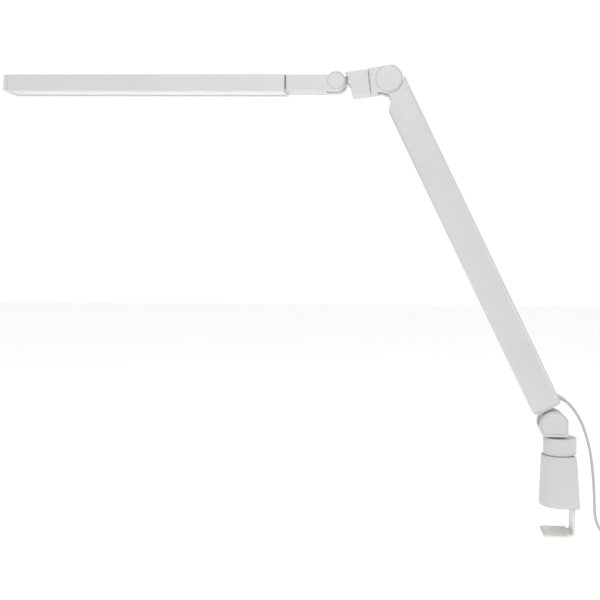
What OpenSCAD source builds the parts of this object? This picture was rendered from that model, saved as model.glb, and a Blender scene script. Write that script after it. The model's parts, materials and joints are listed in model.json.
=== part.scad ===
// Swing arm desk lamp on a C-clamp. Millimetres, +Z up, -X toward the lamp head.
// The origin is on the swivel axis, at the desk-top plane under the base.

/* [Base and clamp] */
// Height of the base housing above the desk
base_h = 62.5; // [60:0.5:66]
// Radius of the housing's round front at the desk
base_r_bot = 26.4; // [26:0.1:28]
// Radius of the housing's round front at the top
base_r_top = 23.4; // [23:0.1:24.5]
// Radius of the hand-turned collar ring
ring_r = 20.4; // [19:0.1:21]
// Clear gap between the pad and the lower jaw
jaw_gap = 33.5; // [20:0.5:40]
// Depth of the lower jaw
jaw_d = 43; // [30:1:46]

/* [Arm] */
// Distance between the arm's two pivot axes
arm_len = 479; // [380:1:560]
// Lean of the arm from vertical
arm_lean = 25.2; // [10:0.1:40]
// Wall of the arm extrusion
arm_wall = 1.8; // [1.4:0.1:2.4]

/* [Joints] */
// Radius of the two-cheek castings
cast_r = 17.8; // [17.4:0.1:18]
// Radius of the cap discs
cap_r = 16.2; // [15:0.1:16.3]
// Downward tilt of the link toward the head
link_tilt = 7; // [0:0.5:10]

/* [Head] */
// Length of the light bar
bar_len = 372; // [250:1:420]
// Width of the light bar
bar_w = 44; // [42:0.5:48]
// Rise of the light bar toward its free end
head_rise = 1.2; // [0:0.1:3]

/* [Cord] */
// Diameter of the low-voltage cord
cord_d = 3.5; // [3:0.1:3.8]

/* [Hidden] */
$fn = 64;
e = 0.02;

// Pivot centres
L = [-8.4, 0, 100];
E = [L[0] - arm_len * sin(arm_lean), 0, L[2] + arm_len * cos(arm_lean)];
H = [E[0] - 66.4, 0, E[2] - 1.3];
spx = -L[0];

// Tail and bar, along the head's own X from the head pivot
tail_x = -65.4;
bar_end = tail_x - bar_len;
tail_top = 7.6;
tail_bot = -12.2;
bar_bot = -14;

// Base
back_bot = 20.9;
back_top = 17.7;
bw = 2;
neck_z = 86.6 - L[2];

// Cord
cr = cord_d / 2;
floor_z = -36.5;
coil_c = [82, 0];
coil_ri = 10.5;
coil_ro = 28;
coil_h = 14;
// Route of the cord from the gland to the coil
route = [[6.6, 0, 129.1], [10, 0, 126.6], [14.4, 0, 121.8], [18.5, 0, 116.4], [22.5, 0, 110], [26.2, 0, 103],
  [29.3, 0, 95.4], [33, 0, 83.5], [36, 0, 71.5], [38.4, 0, 57], [40, 0, 43], [41.2, 0, 28], [41.9, 0, 14],
  [42.2, 0, 0], [42.6, 0, -10], [44, -1, -19], [47, -3.6, -27], [51.5, -7.7, -32.6], [57, -12.5, -34.7],
  [63.44, -18.56, -34.75]];

module at_arm() { translate(L) rotate([0, -arm_lean, 0]) children(); }
module at_link() { translate(E) rotate([0, -link_tilt, 0]) children(); }
module at_head() { translate(H) rotate([0, head_rise, 0]) children(); }

// A cylinder along Y between y0 and y1
module ycyl(r, y0, y1, x = 0, z = 0) { translate([x, y1, z]) rotate([90, 0, 0]) cylinder(r = r, h = y1 - y0); }
// A cylinder along X between x0 and x1
module xcyl(r, x0, x1, y = 0, z = 0) { translate([x0, y, z]) rotate([0, 90, 0]) cylinder(r = r, h = x1 - x0); }
// A box between two corners
module bx(a, b) { translate(a) cube([b[0] - a[0], b[1] - a[1], b[2] - a[2]]); }
// A side outline (x, z) carried along Y
module side(pts, y0, y1) { translate([0, y1, 0]) rotate([90, 0, 0]) linear_extrude(height = y1 - y0) polygon(pts); }
// The same thing mirrored to both sides in Y
module both() { children(); mirror([0, 1, 0]) children(); }
// Ring along Y
module yring(ro, ri, y0, y1) { difference() { ycyl(ro, y0, y1); ycyl(ri, y0 - 1, y1 + 1); } }

// Points of an arc about c, from angle a0 to a1
function arc(c, r, a0, a1, n) = [for (i = [0:n]) let (a = a0 + (a1 - a0) * i / n) [c[0] + r * cos(a), c[1] + r * sin(a)]];

// ---------------------------------------------------------------- base
// U-shaped outline: round toward -X, flat back at x = b, inset by d
function u_out(r, b, d) = concat([[b - d, r - d]], arc([0.5, 0], r - d, 90, 270, 32), [[b - d, -(r - d)]]);
module u_loft(d, z0, z1) {
  k0 = z0 / base_h;
  k1 = z1 / base_h;
  hull() {
    translate([0, 0, z0]) linear_extrude(height = 0.01)
      polygon(u_out(base_r_bot + (base_r_top - base_r_bot) * k0, back_bot + (back_top - back_bot) * k0, d));
    translate([0, 0, z1 - 0.01]) linear_extrude(height = 0.01)
      polygon(u_out(base_r_bot + (base_r_top - base_r_bot) * k1, back_bot + (back_top - back_bot) * k1, d));
  }
}

module base_housing() {
  color("whitesmoke") difference() {
    u_loft(0, 0.6, base_h);
    difference() {
      u_loft(bw, -2, 59.5);
      // screw bosses
      for (y = [-10, 10]) translate([-17, y, 5.3]) cylinder(r = 3.2, h = 60);
    }
    for (y = [-10, 10]) translate([-17, y, -2]) cylinder(r = 1.5, h = 22);
    translate([0, 0, 50]) cylinder(r = 14, h = 20);
  }
}

module base_frame() {
  color("silver") difference() {
    union() {
      // floor plate, side guides and top bearing bridge
      translate([0, 0, 1.25]) linear_extrude(height = 3.9) polygon(u_out(base_r_bot - 2.6, back_bot - 2.6, 0));
      both() bx([-7, 16.2, 5], [10, 19.8, 52.1]);
      translate([0, 0, 52]) linear_extrude(height = 4.6) polygon(u_out(20.2, 14, 0));
      translate([0, 0, 56.5]) cylinder(r = 13, h = 5.6);
    }
    translate([0, 0, 2.2]) cylinder(r = 9.05, h = 70);
    // slot for the strap
    bx([13.2, -15.3, -1], [17.4, 15.3, 7]);
    for (y = [-10, 10]) { translate([-17, y, -1]) cylinder(r = 1.9, h = 10); translate([-17, y, 50]) cylinder(r = 3.6, h = 10); }
    translate([0, 0, -1]) cylinder(r = 4, h = 5);
  }
}

module frame_screws() {
  color("gray") for (y = [-10, 10]) translate([-17, y, 1.4]) cylinder(r = 1.45, h = 17);
}

module desk_pad() {
  color("dimgray") difference() {
    linear_extrude(height = 1.2) polygon(u_out(base_r_bot - 2.3, back_bot - 2.3, 0));
    bx([13, -15.6, -3], [17.6, 15.6, 3]);
    for (y = [-10, 10]) translate([-17, y, -3]) cylinder(r = 2.4, h = 8);
  }
}

// ---------------------------------------------------------------- clamp
module collar_ring() {
  color("whitesmoke") difference() {
    union() {
      translate([0, 0, 63.9]) cylinder(r = ring_r, h = 18.6);
      translate([0, 0, 62.65]) cylinder(r = ring_r - 1.6, h = 3);
    }
    translate([0, 0, 60]) cylinder(r = 9.0, h = 40);
  }
}
module clamp_screw() {
  color("silver") difference() {
    translate([0, 0, 2.3]) cylinder(r = 8.97, h = 79.9);
    translate([0, 0, 8]) cylinder(r = 7.0, h = 80);
  }
}
module clamp_nut() {
  color("darkgoldenrod") difference() {
    translate([0, 0, 5.4]) cylinder(r = 11.5, h = 9);
    translate([0, 0, 4]) cylinder(r = 9.05, h = 12);
  }
}
module clamp_bracket() {
  color([0.78, 0.77, 0.72]) union() {
    // foot that holds the nut, strap and jaw
    difference() {
      bx([-13, -15, 5.4], [15, 15, 14.4]);
      translate([0, 0, 4]) cylinder(r = 11.55, h = 12);
    }
    bx([13.5, -15, -jaw_gap - 1], [16.5, 15, 14.4]);
    difference() {
      bx([-22.4, -jaw_d / 2, floor_z], [16.5, jaw_d / 2, floor_z + 3]);
      both() translate([-22.4, jaw_d / 2, floor_z - 1]) rotate([0, 0, 45]) cube([4.4, 4.4, 10], center = true);
      both() translate([16.5, jaw_d / 2, floor_z - 1]) rotate([0, 0, 45]) cube([8, 8, 10], center = true);
    }
  }
}
module jaw_pad() {
  color("lightgray") bx([-19.4, -jaw_d / 2 + 3, floor_z + 3], [9.5, jaw_d / 2 - 3, floor_z + 4.5]);
}

// ---------------------------------------------------------------- swivel
module swivel_bush() {
  color("ivory") difference() {
    translate([0, 0, 44]) cylinder(r = 6.97, h = 38);
    translate([0, 0, 40]) cylinder(r = 6.04, h = 50);
  }
}
module swivel_spigot() {
  color("silver") difference() {
    translate([0, 0, 36]) cylinder(r = 5.98, h = 53.5);
    difference() { translate([0, 0, 40]) cylinder(r = 8, h = 1.6); translate([0, 0, 39]) cylinder(r = 5, h = 4); }
  }
}
module spigot_clip() {
  color("dimgray") difference() {
    translate([0, 0, 40.3]) cylinder(r = 6.7, h = 1);
    translate([0, 0, 39]) cylinder(r = 5.05, h = 4);
    bx([-2, 0, 39], [2, 9, 43]);
  }
}
module thrust_washer() {
  color("gray") difference() {
    translate([0, 0, 82.6]) cylinder(r = 7.8, h = 1.5);
    translate([0, 0, 80]) cylinder(r = 6.05, h = 9);
  }
}

// Two-cheek casting outline (x, z): round, flat at x = +16.3, cut flat at z = zb
function disc_out(zb) = let (a1 = asin(16.3 / cast_r), ab = asin(-zb / cast_r), t = acos(16.3 / cast_r))
  concat([[16.3, zb]], arc([0, 0], cast_r, t, 180 + ab, 56));

module knuckle() {
  color("whitesmoke") at_arm_upright() difference() {
    union() {
      side(disc_out(neck_z), -18.5, 18.5);
      // foot over the collar
      bx([-11.6, -17.4, neck_z - 2.3], [15.9, 17.4, neck_z + 1]);
    }
    both() ycyl(cap_r + 0.15, 16.5, 30);
    // slot for the arm's tongue
    ycyl(10.2, -7, 7);
    bx([-30, -7, -1], [30, 7, 30]);
    for (a = [0, 18, 36]) rotate([0, -(arm_lean + a), 0]) bx([-9.6, -7, 0], [9.6, 7, 40]);
    // axle bore and its two pockets
    ycyl(4.04, -30, 30);
    both() ycyl(8.2, 12.6, 30);
    translate([spx, 0, -30]) cylinder(r = 6.0, h = 20);
  }
}
module at_arm_upright() { translate(L) children(); }

// Shoulder axle: shaft with a head at the near side and a nut at the far side
module axle() {
  color("silver") { ycyl(4, -15.4, 15.4); ycyl(6.6, -16.3, -13); ycyl(6.6, 14, 16.3); }
}
module springs() { color("dimgray") { yring(7.6, 4.1, 12.65, 13.25); yring(7.6, 4.1, 13.35, 13.95); yring(7.6, 4.1, -12.95, -12.65); } }
module washers(ri) { color("dimgray") both() yring(9.4, ri, 6.08, 6.96); }
module caps(r) { color("white") both() ycyl(r, 16.55, 18.45); }

module knuckle_axle() { translate(L) axle(); }
module knuckle_springs() { translate(L) springs(); }
module knuckle_washers() { translate(L) washers(4.1); }
module knuckle_caps() { translate(L) caps(cap_r); }

// ---------------------------------------------------------------- arm
// Arm section (x, y) inset by d: crowned faces, soft front corners, full round back
function arm_half(d) = concat(
  [[-16.4 + d, 0]],
  arc([-13.4, 14.2], 3 - d, 180, 100, 6),
  [for (i = [1:9]) let (x = -13.4 + 26 * i / 10) [x, 17.16 + 0.9 * sin(180 * i / 10) - d]],
  [for (i = [0:14]) let (a = 90 * (1 - i / 14)) [13.0 + (7.6 - d) * cos(a), (17.15 - d) * sin(a)]]);
function arm_sec(d) = let (h = arm_half(d), n = len(h)) concat(h, [for (i = [n - 2:-1:1]) [h[i][0], -h[i][1]]]);

az0 = 24;
az1 = arm_len - 36;
module arm_profile() {
  color("whitesmoke") at_arm() difference() {
    translate([0, 0, az0]) linear_extrude(height = az1 - az0) difference() { polygon(arm_sec(0)); polygon(arm_sec(arm_wall)); }
    xcyl(3.9, 10, 30, 0, 28.5);
    boot_way();
  }
}
module arm_lower_end() {
  color("whitesmoke") at_arm() difference() {
    union() {
      translate([0, 0, 21.5]) linear_extrude(height = 2.4) polygon(arm_sec(0.15));
      translate([0, 0, 23.8]) linear_extrude(height = 22) intersection() { polygon(arm_sec(arm_wall + 0.15)); translate([-20, -20]) square([25, 40]); }
      ycyl(9.4, -6, 6);
      bx([-9, -6, 0], [9, 6, 22]);
    }
    ycyl(4.04, -30, 30);
    boot_way();
    for (z = [30, 40]) ycyl(1.3, -30, 30, -6, z);
  }
}
module arm_upper_end() {
  color("whitesmoke") at_arm() difference() {
    union() {
      intersection() {
        translate([0, 0, arm_len - 36]) linear_extrude(height = 30) polygon(arm_sec(0.15));
        side([[-8.1, arm_len - 8], [-8.1, arm_len - 25.4], [-16.6, arm_len - 34.8], [-16.6, arm_len - 36],
          [21, arm_len - 36], [21, arm_len - 8]], -30, 30);
      }
      translate([0, 0, az1 - 22]) linear_extrude(height = 22.2) polygon(arm_sec(arm_wall + 0.15));
    }
    ycyl(18.25, -30, 30, 0, arm_len);
    for (z = [az1 - 16, az1 - 6]) ycyl(1.3, -30, 30, -6, z);
    translate([6, 0, az1 - 30]) cylinder(r = 3, h = 40);
  }
  color("whitesmoke") at_arm() difference() {
    union() {
      ycyl(9.4, -6, 6, 0, arm_len);
      bx([-8, -6, arm_len - 18.8], [9, 6, arm_len]);
    }
    ycyl(4.04, -30, 30, 0, arm_len);
  }
}
module arm_end_screws() {
  color("silver") at_arm() both() for (z = [30, 40, az1 - 16, az1 - 6]) ycyl(1.25, 10, 15.6, -6, z);
}
module arm_cable() {
  color("lightgray") at_arm() translate([11, 0, 34]) cylinder(r = 1.6, h = az1 - 24 - 34);
}
module boot_way() { translate([20.9, 0, 27.4]) rotate([0, 141.5, 0]) translate([0, 0, -2]) cylinder(r1 = 3.35, r2 = 2.3, h = 10); }
module cable_gland() {
  color("lightgray") at_arm() {
    union() {
      xcyl(3.8, 14.5, 21.2, 0, 28.5);
      translate([20.9, 0, 28]) sphere(r = 3.3);
      translate([20.9, 0, 27.4]) rotate([0, 141.5, 0]) cylinder(r1 = 3, r2 = 2.1, h = 8.4);
    }
  }
}

// ---------------------------------------------------------------- elbow and roll joint
split = -24.2;
rz = 1.3;
module elbow_block() {
  t = acos(16.3 / cast_r);
  pts = concat([[split, 16.3]], arc([0, 0], cast_r, 90 - t, -(180 - asin(14 / cast_r)), 60), [[split, -14]]);
  color("whitesmoke") at_link() difference() {
    side(pts, -18.5, 18.5);
    both() ycyl(cap_r + 0.15, 16.5, 30);
    ycyl(10.2, -7, 7);
    // slot for the arm's tongue: open below and to the right
    side([[-9, 4], [-2, 10.6], [30, 10.6], [30, -30], [-16, -30], [-16, -13], [-9.4, -4]], -7, 7);
    ycyl(4.04, -30, 30);
    both() ycyl(8.2, 12.6, 30);
    xcyl(4.6, split - 1, 0, 0, rz);
    xcyl(7.2, -15.2, 0, 0, rz);
    // stop recess for the roll joint
    side([[split - 1, 2], [split + 0.9, 2], [split + 0.9, 13], [split - 1, 13]], -30, 30);
  }
}
module elbow_axle() { at_link() axle(); }
module elbow_springs() { at_link() springs(); }
module elbow_washers() { at_link() washers(4.1); }
module elbow_caps() { at_link() caps(cap_r); }

module roll_spindle() {
  color("silver") at_link() difference() {
    union() { xcyl(4.55, -39.5, -12.4, 0, rz); xcyl(7.1, -15, -12.4, 0, rz); }
    xcyl(2.2, -45, 0, 0, rz);
    ycyl(10.3, -7.4, 7.4);
  }
}
module roll_nut() {
  color("silver") at_link() difference() { xcyl(7.4, -39.2, -35.8, 0, rz); xcyl(4.6, -50, 0, 0, rz); }
}
module roll_springs() {
  color("dimgray") at_link() for (x = [-35.6, -34.7]) difference() { xcyl(7.4, x, x + 0.7, 0, rz); xcyl(4.65, -50, 0, 0, rz); }
}

// Head pivot in the link's frame
hl = [-66.4 * cos(link_tilt) - 1.3 * sin(link_tilt), 0, 66.4 * sin(link_tilt) - 1.3 * cos(link_tilt)];
module swivel_block() {
  color("whitesmoke") at_link() difference() {
    side([[split - 0.5, 15.3], [-56, 15.3], [-56, hl[2]], [-48.6, -1], [-48.2, -14], [split - 0.5, -14]], -18.5, 18.5);
    ycyl(15.4, -30, 30, hl[0], hl[2]);
    xcyl(4.62, -60, 0, 0, rz);
    bx([-60, -9, -9], [-33.8, 9, 12.4]);
    for (y = [-5, 5]) translate([-44, y, -20]) cylinder(r = 1.6, h = 12);
  }
}
module swivel_lug() {
  color("silver") at_link() difference() {
    union() {
      bx([-47.9, -8.9, -8.9], [-40, 8.9, 12.3]);
      bx([hl[0], -6, 1], [-46, 6, 12.3]);
      ycyl(10.4, -6, 6, hl[0], hl[2]);
    }
    difference() { ycyl(15.2, -30, 30, hl[0], hl[2]); ycyl(15.2, -6, 6, hl[0], hl[2]); }
    ycyl(3.04, -30, 30, hl[0], hl[2]);
    for (y = [-5, 5]) translate([-44, y, -10]) cylinder(r = 1.3, h = 10);
  }
}
module lug_screws() {
  color("silver") at_link() for (y = [-5, 5]) translate([-44, y, -13.6]) cylinder(r = 1.25, h = 11);
}

// ---------------------------------------------------------------- head
// Rounded box outline (y, z)
function rbox(w, z0, z1, r, rb) = concat(arc([w - r, z1 - r], r, 0, 90, 8), arc([-w + r, z1 - r], r, 90, 180, 8),
  arc([-w + rb, z0 + rb], rb, 180, 270, 5), arc([w - rb, z0 + rb], rb, 270, 360, 5));
// An outline (y, z) carried along X
module bar(x0, x1) { translate([x0, 0, 0]) rotate([90, 0, 90]) linear_extrude(height = x1 - x0) children(); }

module tail_housing() {
  color("whitesmoke") at_head() difference() {
    union() {
      bar(tail_x + 0.3, -8) polygon(rbox(18.5, tail_bot, tail_top, 1.6, 1.2));
      ycyl(12, -18.5, 18.5);
    }
    both() ycyl(10.65, 16.6, 30);
    // inside
    bx([tail_x + 2.4, -16.4, -20], [-17, 16.4, 5.8]);
    bx([-13.4, -6.5, -20], [30, 6.5, 20]);
    ycyl(3.04, -30, 30);
    both() ycyl(6.2, 13, 30);
    xcyl(1.6, tail_x - 2, tail_x + 6, 0, -6);
    translate([-40, 0, 0]) cylinder(r = 4.7, h = 20);
    // passage for the cable
    bx([-18, -3, -8], [-12, 3, 2]);
  }
}
module tail_cover() {
  color("whitesmoke") at_head() bx([tail_x + 2.7, -16.2, tail_bot], [-17.3, 16.2, tail_bot + 1.8]);
}
module driver_board() {
  color("seagreen") at_head() {
    bx([-60, -14, -8], [-20, 14, -6.4]);
    bx([-43, -3, -6.4], [-37, 3, -3.2]);
    bx([-58, -10, -6.4], [-50, 0, -1]);
    bx([-30, 2, -6.4], [-24, 11, -2]);
    both() bx([-58, 12, -10.3], [-54, 14, -8]);
  }
}
module power_button() {
  color("whitesmoke") at_head() translate([-40, 0, 0]) {
    translate([0, 0, 4.2]) cylinder(r = 4.4, h = 3.8);
    translate([0, 0, 4.2]) cylinder(r = 6, h = 1.5);
    translate([0, 0, -2.2]) cylinder(r = 1.4, h = 6);
  }
}
module head_axle() { color("silver") at_head() { ycyl(3, -16.3, 16.3); ycyl(5, -16.4, -13.2); ycyl(5, 14.4, 16.4); } }
module head_springs() { color("dimgray") at_head() { yring(5.8, 3.1, 13.1, 13.6); yring(5.8, 3.1, 13.7, 14.3); } }
module head_washers() { color("dimgray") at_head() both() yring(9.4, 3.1, 6.05, 6.45); }
module head_caps() { color("white") at_head() both() ycyl(10.5, 16.65, 18.45); }

bw2 = bar_w / 2;
module head_profile() {
  color("whitesmoke") at_head() {
    difference() {
      bar(bar_end + 5, tail_x) difference() {
        polygon(rbox(bw2, bar_bot, tail_top, 2.4, 1.2));
        polygon([[20.4, 5.8], [20.4, -9.4], [15.8, -9.4], [15.8, -20], [-15.8, -20], [-15.8, -9.4], [-20.4, -9.4], [-20.4, 5.8]]);
        polygon([[17.2, -13], [17.2, -10.8], [-17.2, -10.8], [-17.2, -13]]);
      }
    }
    // closed wall next to the tail
    difference() {
      bar(tail_x - 3, tail_x) polygon([[20.3, 5.7], [20.3, -10.6], [-20.3, -10.6], [-20.3, 5.7]]);
      xcyl(1.6, tail_x - 5, tail_x + 5, 0, -6);
    }
  }
}
module head_end_cap() {
  color("whitesmoke") at_head() difference() {
    union() {
      bar(bar_end, bar_end + 4.8) polygon(rbox(bw2, bar_bot, tail_top, 2.4, 1.2));
      bar(bar_end + 4.7, bar_end + 9) polygon([[20.2, 5.6], [20.2, -9.2], [-20.2, -9.2], [-20.2, 5.6]]);
    }
    bar(bar_end + 3, bar_end + 10) polygon([[18.6, 4], [18.6, -7.8], [-18.6, -7.8], [-18.6, 4]]);
    both() xcyl(1.1, bar_end - 1, bar_end + 4.5, 19.4, -11.6);
  }
}
module cap_screws() {
  color("silver") at_head() both() xcyl(1.05, bar_end + 0.1, bar_end + 4.4, 19.4, -11.6);
}
module diffuser() {
  color("white") at_head() bx([bar_end + 5.1, -17.1, -12.9], [tail_x - 0.2, 17.1, -10.9]);
}
module led_board() {
  color("white") at_head() bx([bar_end + 12, -12, 4.1], [tail_x - 6, 12, 5.7]);
}
module led_chips() {
  color("khaki") at_head() for (i = [0:22]) bx([bar_end + 24 + i * 15, -1.5, 3.2], [bar_end + 27 + i * 15, 1.5, 4.05]);
}
module reflector() {
  color("white") at_head() both() bar(bar_end + 10, tail_x - 4) polygon([[12.4, 5.6], [13, 5.6], [19.9, -9.2], [19.2, -9.3]]);
}

// ---------------------------------------------------------------- cord
// Smooth curve through the route's points
function cr4(a, b, c, d, t) = 0.5 * (2 * b + (c - a) * t + (2 * a - 5 * b + 4 * c - d) * t * t + (3 * b - 3 * c + d - a) * t * t * t);
function at_i(p, i) = i < 0 ? 2 * p[0] - p[1] : i >= len(p) ? 2 * p[len(p) - 1] - p[len(p) - 2] : p[i];
function fine(p, k) = concat([for (i = [0:len(p) - 2], j = [0:k - 1]) cr4(at_i(p, i - 1), p[i], p[i + 1], at_i(p, i + 2), j / k)], [p[len(p) - 1]]);
function unit(v) = v / norm(v);
module sweep(p, r, n) {
  m = len(p);
  tg = [for (i = [0:m - 1]) unit(p[min(i + 1, m - 1)] - p[max(i - 1, 0)])];
  rings = [for (i = [0:m - 1]) let (s = unit(cross(tg[i], [0.6, 0.8, 0.05])), u = cross(s, tg[i]))
    for (j = [0:n - 1]) p[i] + r * (cos(360 * j / n) * s + sin(360 * j / n) * u)];
  faces = concat([[for (j = [0:n - 1]) j]],
    [for (i = [0:m - 2], j = [0:n - 1], k = [0, 1]) let (a = i * n + j, b = i * n + (j + 1) % n)
      k == 0 ? [a, a + n, b] : [b, a + n, b + n]],
    [[for (j = [n - 1:-1:0]) (m - 1) * n + j]]);
  polyhedron(points = rings, faces = faces);
}
module power_cord() { color("lightgray") sweep(fine(route, 2), cr, 8); }
module cord_coil() {
  color("lightgray") translate([coil_c[0], coil_c[1], floor_z]) rotate_extrude()
    translate([coil_ri, 0]) square([coil_ro - coil_ri, coil_h]);
}
// The tie wraps the coil's section on its -Y side
module coil_tie() {
  color("gray") translate([coil_c[0], coil_c[1], floor_z]) difference() {
    bx([-2, -coil_ro - 1, 0], [2, -coil_ri + 1.2, coil_h + 1]);
    bx([-3, -coil_ro - 0.05, -1], [3, -coil_ri + 0.25, coil_h + 0.02]);
  }
}
module dc_plug() {
  color("dimgray") translate([coil_c[0] + 19, 0, floor_z + coil_h + 4.6]) {
    ycyl(4.5, -10, 10);
    ycyl(2.75, 9.9, 19.5);
  }
}

base_housing();
base_frame();
frame_screws();
desk_pad();
collar_ring();
clamp_screw();
clamp_nut();
clamp_bracket();
jaw_pad();
swivel_bush();
swivel_spigot();
spigot_clip();
thrust_washer();
knuckle();
knuckle_axle();
knuckle_springs();
knuckle_washers();
knuckle_caps();
arm_lower_end();
arm_profile();
arm_upper_end();
arm_end_screws();
arm_cable();
cable_gland();
elbow_block();
elbow_axle();
elbow_springs();
elbow_washers();
elbow_caps();
roll_spindle();
roll_nut();
roll_springs();
swivel_block();
swivel_lug();
lug_screws();
tail_housing();
tail_cover();
driver_board();
power_button();
head_axle();
head_springs();
head_washers();
head_caps();
head_profile();
head_end_cap();
cap_screws();
diffuser();
led_board();
led_chips();
reflector();
power_cord();
cord_coil();
coil_tie();
dc_plug();
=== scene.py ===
import bpy, bmesh, math, json
from mathutils import Vector, Matrix


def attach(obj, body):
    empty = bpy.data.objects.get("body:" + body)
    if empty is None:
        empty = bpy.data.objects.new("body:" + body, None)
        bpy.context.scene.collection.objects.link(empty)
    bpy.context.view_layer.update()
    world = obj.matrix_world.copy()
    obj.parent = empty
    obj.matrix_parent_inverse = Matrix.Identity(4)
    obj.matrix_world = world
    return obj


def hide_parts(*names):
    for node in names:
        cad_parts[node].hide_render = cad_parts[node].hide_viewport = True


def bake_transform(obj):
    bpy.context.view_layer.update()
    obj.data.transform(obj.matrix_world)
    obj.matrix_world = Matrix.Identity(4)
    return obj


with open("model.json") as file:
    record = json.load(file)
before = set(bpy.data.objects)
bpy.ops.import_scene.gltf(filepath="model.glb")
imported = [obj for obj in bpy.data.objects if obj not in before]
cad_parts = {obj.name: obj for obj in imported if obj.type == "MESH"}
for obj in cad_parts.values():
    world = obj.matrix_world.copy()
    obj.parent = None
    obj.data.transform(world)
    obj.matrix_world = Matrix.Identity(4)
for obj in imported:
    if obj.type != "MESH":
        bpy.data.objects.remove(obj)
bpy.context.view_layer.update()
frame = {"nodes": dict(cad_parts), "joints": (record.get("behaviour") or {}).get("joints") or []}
for o_ in [bpy.data.objects.get(n_) for n_ in ("Cube", "Light", "Camera")]:
    if o_ is not None:
        bpy.data.objects.remove(o_)
joint = {j["name"]: j for j in frame["joints"]}
mm = 0.001


def jp(name):
    return Vector(joint[name]["pos_m"])


L, E, H = jp("arm_tilt"), jp("elbow_tilt"), jp("head_tilt")
AL = (E - L).length
lean = math.atan2(L.x - E.x, E.z - L.z)
ax = joint["head_roll"]["axis"]
tilt = math.atan2(-ax[2], -ax[0])
bx_ = joint["button_press"]["axis"]
rise = math.atan2(bx_[0], bx_[2])
I4 = Matrix.Identity(4)
M_kn = Matrix.Translation(L)
M_arm = Matrix.Translation(L) @ Matrix.Rotation(-lean, 4, "Y")
M_link = Matrix.Translation(E) @ Matrix.Rotation(-tilt, 4, "Y")
M_head = Matrix.Translation(H) @ Matrix.Rotation(rise, 4, "Y")

# ------------------------------------------------------------------ camera
AZ = math.radians(6.5)
cam_at = Vector((-0.190, -1.199, 0.305))
cam_data = bpy.data.cameras.new("camera")
cam = bpy.data.objects.new("camera", cam_data)
bpy.context.scene.collection.objects.link(cam)
cam.location = cam_at
cam.rotation_euler = (math.radians(90), 0, AZ)
cam_data.sensor_width = 36
cam_data.lens = 56.16
cam_data.shift_x = 0.0
cam_data.shift_y = -0.0667
cam_data.clip_start = 0.01
cam_data.clip_end = 50
bpy.context.scene.camera = cam


# ------------------------------------------------------------------ materials
def new_mat(name):
    m = bpy.data.materials.new(name)
    m.use_nodes = True
    nt = m.node_tree
    nt.nodes.clear()
    out = nt.nodes.new("ShaderNodeOutputMaterial")
    b = nt.nodes.new("ShaderNodeBsdfPrincipled")
    nt.links.new(b.outputs[0], out.inputs[0])
    return m, nt, b


def coords(nt, scale=(1, 1, 1)):
    tc = nt.nodes.new("ShaderNodeTexCoord")
    mp = nt.nodes.new("ShaderNodeMapping")
    mp.inputs["Scale"].default_value = scale
    nt.links.new(tc.outputs["Object"], mp.inputs["Vector"])
    return mp.outputs["Vector"]


def noise(nt, vec, scale, detail=3.0, rough=0.5):
    n = nt.nodes.new("ShaderNodeTexNoise")
    n.inputs["Scale"].default_value = scale
    n.inputs["Detail"].default_value = detail
    n.inputs["Roughness"].default_value = rough
    nt.links.new(vec, n.inputs["Vector"])
    return n.outputs["Fac"]


def ramp(nt, fac, stops):
    r = nt.nodes.new("ShaderNodeValToRGB")
    cr = r.color_ramp
    while len(cr.elements) < len(stops):
        cr.elements.new(0.5)
    for el, (p, c) in zip(cr.elements, stops):
        el.position = p
        el.color = (c[0], c[1], c[2], 1) if not isinstance(c, (int, float)) else (c, c, c, 1)
    nt.links.new(fac, r.inputs[0])
    return r.outputs["Color"]


def maprange(nt, fac, a, b, lo, hi):
    n = nt.nodes.new("ShaderNodeMapRange")
    n.inputs["From Min"].default_value = a
    n.inputs["From Max"].default_value = b
    n.inputs["To Min"].default_value = lo
    n.inputs["To Max"].default_value = hi
    nt.links.new(fac, n.inputs["Value"])
    return n.outputs["Result"]


def bump(nt, b, height, strength, dist, prev=None):
    n = nt.nodes.new("ShaderNodeBump")
    n.inputs["Strength"].default_value = strength
    n.inputs["Distance"].default_value = dist
    nt.links.new(height, n.inputs["Height"])
    if prev is not None:
        nt.links.new(prev, n.inputs["Normal"])
    nt.links.new(n.outputs["Normal"], b.inputs["Normal"])
    return n.outputs["Normal"]


def edge_highlight_mask(nt, lo=0.52, hi=0.62):
    """1 on convex edges, from the mesh's pointiness; used to paint a highlight on those edges."""
    g = nt.nodes.new("ShaderNodeNewGeometry")
    return maprange(nt, g.outputs["Pointiness"], lo, hi, 0.0, 1.0)


def mix_col(nt, fac, a, b):
    n = nt.nodes.new("ShaderNodeMix")
    n.data_type = "RGBA"
    nt.links.new(fac, n.inputs[0])
    for sock, v in ((n.inputs[6], a), (n.inputs[7], b)):
        if hasattr(v, "is_linked"):
            nt.links.new(v, sock)
        else:
            sock.default_value = (v[0], v[1], v[2], 1)
    return n.outputs[2]


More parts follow.
